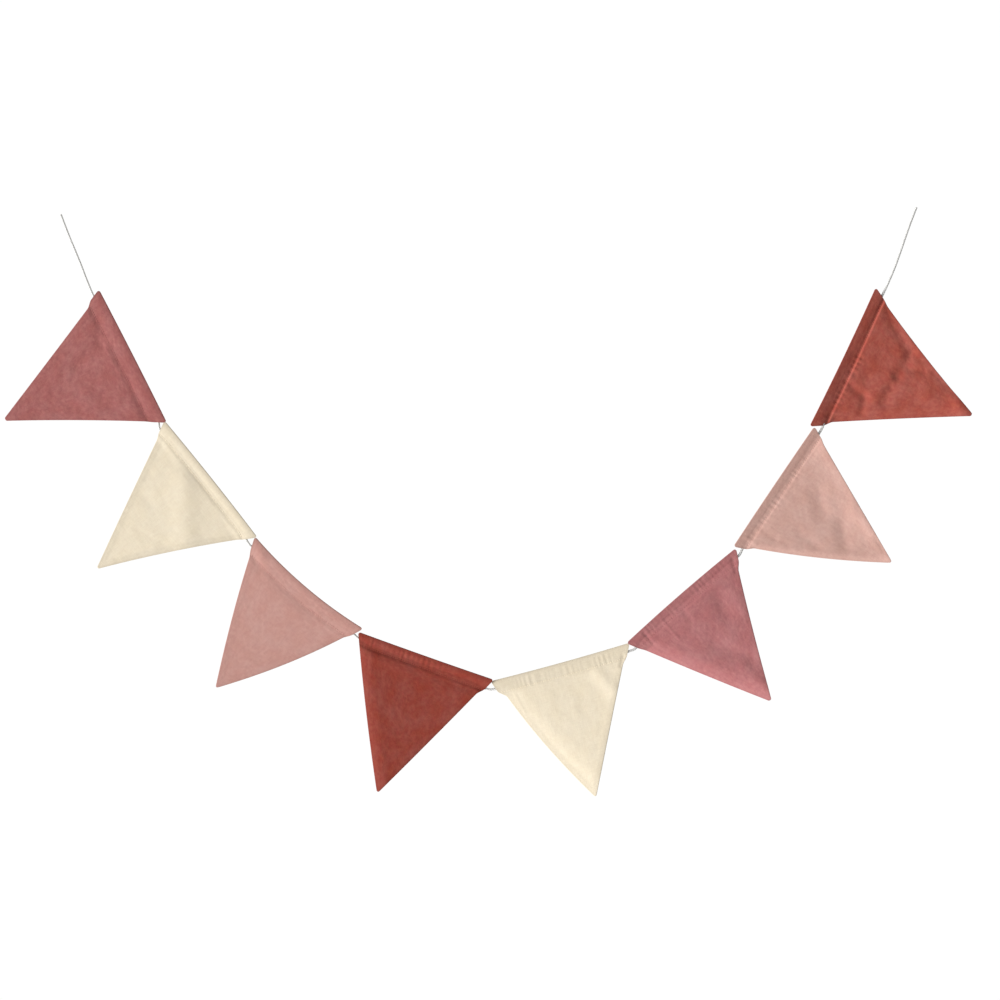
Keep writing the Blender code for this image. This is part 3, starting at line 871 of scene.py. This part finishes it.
class Nodes:
    """Short calls for wiring up a material's nodes."""

    def __init__(self, name):
        self.material = bpy.data.materials.new(name)
        self.material.use_nodes = True
        self.tree = self.material.node_tree
        self.shader = self.tree.nodes["Principled BSDF"]

    def new(self, kind, **inputs):
        node = self.tree.nodes.new(kind)
        for name, value in inputs.items():
            self.feed(node.inputs[name.replace("_", " ")], value)
        return node

    def feed(self, socket, value):
        if isinstance(value, bpy.types.NodeSocket):
            self.tree.links.new(value, socket)
        else:
            socket.default_value = value

    def dress(self, **inputs):
        """Sets or feeds the shader's own sockets."""
        for name, value in inputs.items():
            self.feed(self.shader.inputs[name.replace("_", " ")], value)

    def attribute(self, name):
        node = self.tree.nodes.new("ShaderNodeAttribute")
        node.attribute_name = name
        return node

    def math(self, operation, first, second=0.0):
        node = self.tree.nodes.new("ShaderNodeMath")
        node.operation = operation
        self.feed(node.inputs[0], first)
        self.feed(node.inputs[1], second)
        return node.outputs[0]

    def noise(self, vector, scale, detail=2.0, roughness=0.5):
        node = self.new(
            "ShaderNodeTexNoise", Vector=vector, Scale=scale, Detail=detail, Roughness=roughness
        )
        return node.outputs["Fac"]

    def scaled(self, vector, factors):
        node = self.tree.nodes.new("ShaderNodeVectorMath")
        node.operation = "MULTIPLY"
        self.feed(node.inputs[0], vector)
        self.feed(node.inputs[1], factors)
        return node.outputs[0]

    def spread(self, value, low, high):
        """A value from 0 to 1, made to run from low to high."""
        return self.ranged(value, 0.0, 1.0, low, high)

    def ranged(self, value, start, end, low, high):
        """A value from start to end, made to run smoothly from low to high."""
        node = self.new(
            "ShaderNodeMapRange", Value=value, From_Min=start, From_Max=end, To_Min=low, To_Max=high
        )
        node.interpolation_type = "SMOOTHSTEP"
        return node.outputs["Result"]

    def product(self, *values):
        total = values[0]
        for value in values[1:]:
            total = self.math("MULTIPLY", total, value)
        return total

    def tint(self, colour, **inputs):
        """The colour, with its hue, saturation or value fed by other nodes."""
        node = self.new("ShaderNodeHueSaturation", Color=(*colour, 1.0), **inputs)
        return node.outputs["Color"]

    def bump(self, height, distance, normal=None):
        node = self.new("ShaderNodeBump", Height=height, Distance=distance, Strength=1.0)
        if normal is not None:
            self.feed(node.inputs["Normal"], normal)
        return node.outputs["Normal"]


def weave_height(nodes, along, down):
    """Plain weave: each yarn crosses over one and under the next."""
    warp, weft = (
        nodes.math("SINE", nodes.math("MULTIPLY", place, math.pi / WEAVE_PITCH))
        for place in (along, down)
    )
    crossing = nodes.math("MULTIPLY", warp, weft)
    warp_top, weft_top = (
        nodes.math("MULTIPLY", nodes.math("ABSOLUTE", yarn), nodes.spread(crossing, *heights))
        for yarn, heights in ((warp, WARP_HEIGHTS), (weft, WEFT_HEIGHTS))
    )
    return nodes.math("MAXIMUM", warp_top, weft_top)


def cloth_material(name, cloth):
    nodes = Nodes(name)
    place = nodes.attribute("cloth").outputs["Vector"]
    layers = nodes.attribute("layers").outputs["Fac"]
    split = nodes.new("ShaderNodeSeparateXYZ", Vector=place)
    along, down, edge = split.outputs

    dye = nodes.noise(place, DYE_SCALE, 3.0, 0.55)
    wash = nodes.noise(place, WASH_SCALE, 3.0, 0.6)
    warp_slub = nodes.noise(nodes.scaled(place, (1 / SLUB_ACROSS, 1 / SLUB_LENGTH, 0.0)), 1.0)
    weft_slub = nodes.noise(nodes.scaled(place, (1 / SLUB_LENGTH, 1 / SLUB_ACROSS, 0.0)), 1.0)
    weave = weave_height(nodes, along, down)
    shade = nodes.product(
        nodes.ranged(dye, *NOISE_PART, 1 - cloth.mottle / 2, 1 + cloth.mottle / 2),
        nodes.ranged(wash, *NOISE_PART, 1 - cloth.mottle, 1 + cloth.mottle),
        nodes.spread(warp_slub, *SLUB_SHADE),
        nodes.spread(weft_slub, *SLUB_SHADE),
        # painted shade in the weave's hollows
        nodes.spread(weave, *WEAVE_HOLLOW_SHADE),
        # painted shade where the cloth lies doubled
        nodes.spread(layers, 1.0, 1 - cloth.layered),
        # painted rim shade: darker near the sides, the tip and the top edge
        nodes.ranged(edge, 0.0, PAINTED_RIM_REACH, *PAINTED_RIM_SHADE),
    )
    colour = nodes.tint(
        (cloth.red, cloth.green, cloth.blue), Value=shade,
        Saturation=nodes.spread(dye, *DYE_SATURATION), Hue=nodes.spread(wash, *WASH_HUE),
    )
    nodes.dress(Base_Color=colour, Roughness=0.92, Specular_IOR_Level=0.25,
                Sheen_Weight=0.12, Sheen_Roughness=0.5)

    crumple = nodes.bump(nodes.noise(place, CRUMPLE_SCALE), cloth.crumple * MM)
    slubs = nodes.bump(nodes.math("ADD", warp_slub, weft_slub), SLUB_BUMP * MM, crumple)
    nodes.dress(Normal=nodes.bump(weave, WEAVE_BUMP * MM, slubs))
    return nodes.material


def thread_material(name, cloth):
    nodes = Nodes(name)
    grain = nodes.noise(nodes.attribute("cloth").outputs["Vector"], THREAD_GRAIN_SCALE)
    shade = nodes.spread(grain, *THREAD_SHADE)
    colour = nodes.tint((cloth.red, cloth.green, cloth.blue), Value=shade)
    nodes.dress(Base_Color=colour, Roughness=0.6, Specular_IOR_Level=0.35)
    return nodes.material


def string_material():
    nodes = Nodes("twisted_cotton")
    place = nodes.attribute("twist").outputs["Vector"]
    radius = nodes.new("ShaderNodeSeparateXYZ", Vector=place).outputs[2]
    fibres = nodes.noise(nodes.scaled(place, FIBRE_SCALES), 1.0, 3.0, 0.6)
    patches = nodes.noise(place, PATCH_SCALE)
    shade = nodes.product(
        # painted shade in the grooves between the strands, where the radius is small
        nodes.ranged(radius, *GROOVE_SHADE_RADII, *GROOVE_SHADE),
        nodes.spread(fibres, *FIBRE_SHADE),
        nodes.spread(patches, *PATCH_SHADE),
    )
    nodes.dress(Base_Color=nodes.tint(STRING_COLOUR, Value=shade), Roughness=0.88,
                Specular_IOR_Level=0.25, Sheen_Weight=0.15, Subsurface_Weight=1.0,
                Subsurface_Scale=STRING_GLOW * MM, Subsurface_Radius=(1.0, 1.0, 1.0),
                Normal=nodes.bump(fibres, FIBRE_BUMP * MM))
    return nodes.material


# Stage


def make_camera():
    data = bpy.data.cameras.new("camera")
    data.sensor_width = SENSOR_WIDTH
    data.lens = SENSOR_WIDTH * VIEW_DISTANCE / VIEW_WIDTH
    data.clip_end = VIEW_END
    camera = bpy.data.objects.new("camera", data)
    camera.location = (VIEW_CENTRE[0], -VIEW_DISTANCE, VIEW_CENTRE[2])
    camera.rotation_euler = (math.pi / 2, 0.0, 0.0)
    bpy.context.collection.objects.link(camera)
    bpy.context.scene.camera = camera


def make_sun(name, direction, strength, angle):
    data = bpy.data.lights.new(name, "SUN")
    data.energy = strength
    data.angle = math.radians(angle)
    light = bpy.data.objects.new(name, data)
    light.rotation_euler = Vector(direction).to_track_quat("Z", "Y").to_euler()
    light.location = Vector(VIEW_CENTRE) + SUN_DISTANCE * Vector(direction)
    bpy.context.collection.objects.link(light)


def white_background(tree, strength):
    node = tree.nodes.new("ShaderNodeBackground")
    node.inputs["Strength"].default_value = strength
    node.inputs["Color"].default_value = WHITE
    return node.outputs[0]


def make_world():
    """White behind everything, and a softer white as the light all round."""
    world = bpy.data.worlds.new("white")
    bpy.context.scene.world = world
    world.use_nodes = True
    tree = world.node_tree
    tree.nodes.clear()
    output = tree.nodes.new("ShaderNodeOutputWorld")
    rays = tree.nodes.new("ShaderNodeLightPath")
    mix = tree.nodes.new("ShaderNodeMixShader")
    tree.links.new(rays.outputs["Is Camera Ray"], mix.inputs[0])
    tree.links.new(white_background(tree, SKY_STRENGTH), mix.inputs[1])
    tree.links.new(white_background(tree, SKY_SEEN_STRENGTH), mix.inputs[2])
    tree.links.new(mix.outputs[0], output.inputs["Surface"])


def make_floor():
    """A plain pale floor well below the bunting, out of the front view."""
    angles = np.arange(FLOOR_SIDES) * 2 * math.pi / FLOOR_SIDES
    ring = [
        (VIEW_CENTRE[0] + FLOOR_RADIUS * math.cos(a), FLOOR_RADIUS * math.sin(a), FLOOR_HEIGHT)
        for a in angles
    ]
    mesh = bpy.data.meshes.new("floor")
    mesh.from_pydata(ring, [], [list(range(FLOOR_SIDES))])
    nodes = Nodes("pale_floor")
    nodes.dress(Base_Color=FLOOR_COLOUR, Roughness=0.9)
    mesh.materials.append(nodes.material)
    floor = bpy.data.objects.new("floor", mesh)
    bpy.context.collection.objects.link(floor)


def set_colour_management():
    scene = bpy.context.scene
    scene.view_settings.view_transform = "Standard"
    scene.view_settings.look = "None"
    scene.view_settings.exposure = 0.0
    scene.view_settings.gamma = 1.0


# Pieces


def dress_string(line):
    string, path = make_string(line, string_material())
    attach(string, BODY)
    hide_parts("string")
    return string


def dress_flag(flag, seed, line, materials):
    cloth, thread = materials[flag.cloth]
    shape = FlagShape(flag, seed, line)
    piece = make_cloth(shape, cloth)
    stitches = make_stitches(shape, thread)
    for made in (piece, stitches):
        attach(made, BODY)
    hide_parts(flag.node)


def main():
    set_colour_management()
    make_camera()
    make_world()
    make_sun("key", KEY_DIRECTION, KEY_STRENGTH, KEY_ANGLE)
    make_sun("back", BACK_DIRECTION, BACK_STRENGTH, BACK_ANGLE)
    make_floor()
    line = string_points()
    string = dress_string(line)
    materials = {
        name: (cloth_material(name + "_cloth", cloth), thread_material(name + "_thread", cloth))
        for name, cloth in CLOTHS.items()
    }
    for seed, flag in enumerate(FLAGS):
        dress_flag(flag, seed, line, materials)


main()
